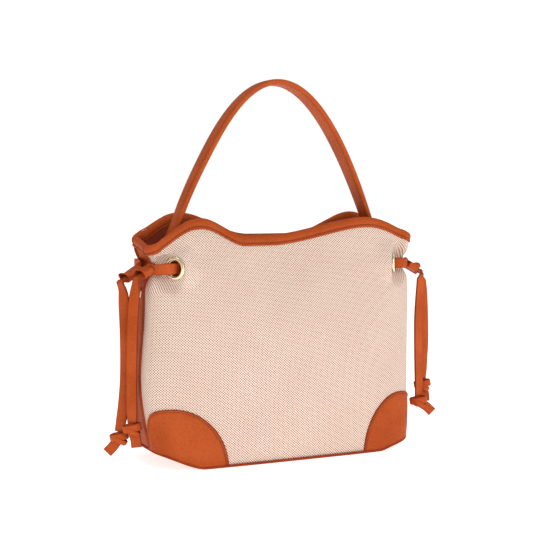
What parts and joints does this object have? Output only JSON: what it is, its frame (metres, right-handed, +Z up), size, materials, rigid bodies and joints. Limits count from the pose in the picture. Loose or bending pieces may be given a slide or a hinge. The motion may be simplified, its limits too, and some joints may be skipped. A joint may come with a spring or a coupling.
{
  "type": "bucket bag",
  "caption": "Small canvas bucket bag with leather trim, wavy bound rim, arched top handle and a knotted side lace cinching each gusset.",
  "frame": {"origin": "on the floor under the middle of the base", "axes": "+Z up, the front faces -Y, the left gusset is at -X and the right one at +X"},
  "size_m": [0.3636, 0.1082, 0.3713],
  "materials": {
    "canvas": "two-tone twill canvas, matt",
    "leather": "smooth cognac leather, satin",
    "piping": "dark cognac leather, satin",
    "lining": "dark red-brown cotton, matt",
    "brass": "pale gold plating, polished",
    "board": "pressed fibre board, matt",
    "padding": "felt padding, matt"
  },
  "bodies": {
    "root": {"front_panel": "canvas", "back_panel": "canvas", "left_gusset": "leather", "right_gusset": "leather", "base_panel": "leather", "base_board": "board", "base_piping": "piping", "front_left_patch": "leather", "front_right_patch": "leather", "back_left_patch": "leather", "back_right_patch": "leather", "front_rim_binding": "leather", "back_rim_binding": "leather", "left_rim_binding": "leather", "right_rim_binding": "leather", "left_seam_piping": "piping", "right_seam_piping": "piping", "front_lining": "lining", "back_lining": "lining", "left_lining": "lining", "right_lining": "lining", "floor_lining": "lining", "slip_pocket": "lining", "front_snap": "brass", "back_snap": "brass", "left_rivet": "brass", "right_rivet": "brass", "left_rivet_post": "brass", "right_rivet_post": "brass", "left_anchor_washer": "leather", "right_anchor_washer": "leather", "front_left_eyelet": "brass", "front_right_eyelet": "brass", "back_left_eyelet": "brass", "back_right_eyelet": "brass", "front_left_washer": "brass", "front_right_washer": "brass", "back_left_washer": "brass", "back_right_washer": "brass", "left_lace": "leather", "right_lace": "leather"},
    "handle": {"handle_strap": "leather", "handle_core": "padding"},
    "left_keeper": {"left_keeper": "leather"},
    "right_keeper": {"right_keeper": "leather"},
    "left_front_tail": {"left_front_strand": "leather", "left_front_knot": "leather"},
    "left_back_tail": {"left_back_strand": "leather", "left_back_knot": "leather"},
    "right_front_tail": {"right_front_strand": "leather", "right_front_knot": "leather"},
    "right_back_tail": {"right_back_strand": "leather", "right_back_knot": "leather"}
  },
  "joints": [
    {"name": "handle_swing", "type": "hinge", "parent": "root", "child": "handle", "pos_m": [0, 0, 0.164], "axis": [1, 0, 0], "range_deg": [-6, 6]},
    {"name": "left_keeper_slide", "type": "slide", "parent": "root", "child": "left_keeper", "axis": [-0.8403, -0.2095, -0.5], "range_m": [0, 0.004]},
    {"name": "left_front_tail_swing", "type": "hinge", "parent": "root", "child": "left_front_tail", "pos_m": [-0.15421, -0.02167, 0.179], "axis": [-0.2419, 0.9703, 0], "range_deg": [0, 65]},
    {"name": "left_back_tail_swing", "type": "hinge", "parent": "root", "child": "left_back_tail", "pos_m": [-0.16528, -0.00588, 0.175], "axis": [-0.2419, 0.9703, 0], "range_deg": [0, 65]},
    {"name": "right_keeper_slide", "type": "slide", "parent": "root", "child": "right_keeper", "axis": [0.8403, -0.2095, -0.5], "range_m": [0, 0.004]},
    {"name": "right_front_tail_swing", "type": "hinge", "parent": "root", "child": "right_front_tail", "pos_m": [0.15589, -0.02209, 0.178], "axis": [-0.2419, -0.9703, 0], "range_deg": [0, 65]},
    {"name": "right_back_tail_swing", "type": "hinge", "parent": "root", "child": "right_back_tail", "pos_m": [0.16696, -0.0063, 0.174], "axis": [-0.2419, -0.9703, 0], "range_deg": [0, 65]}
  ]
}
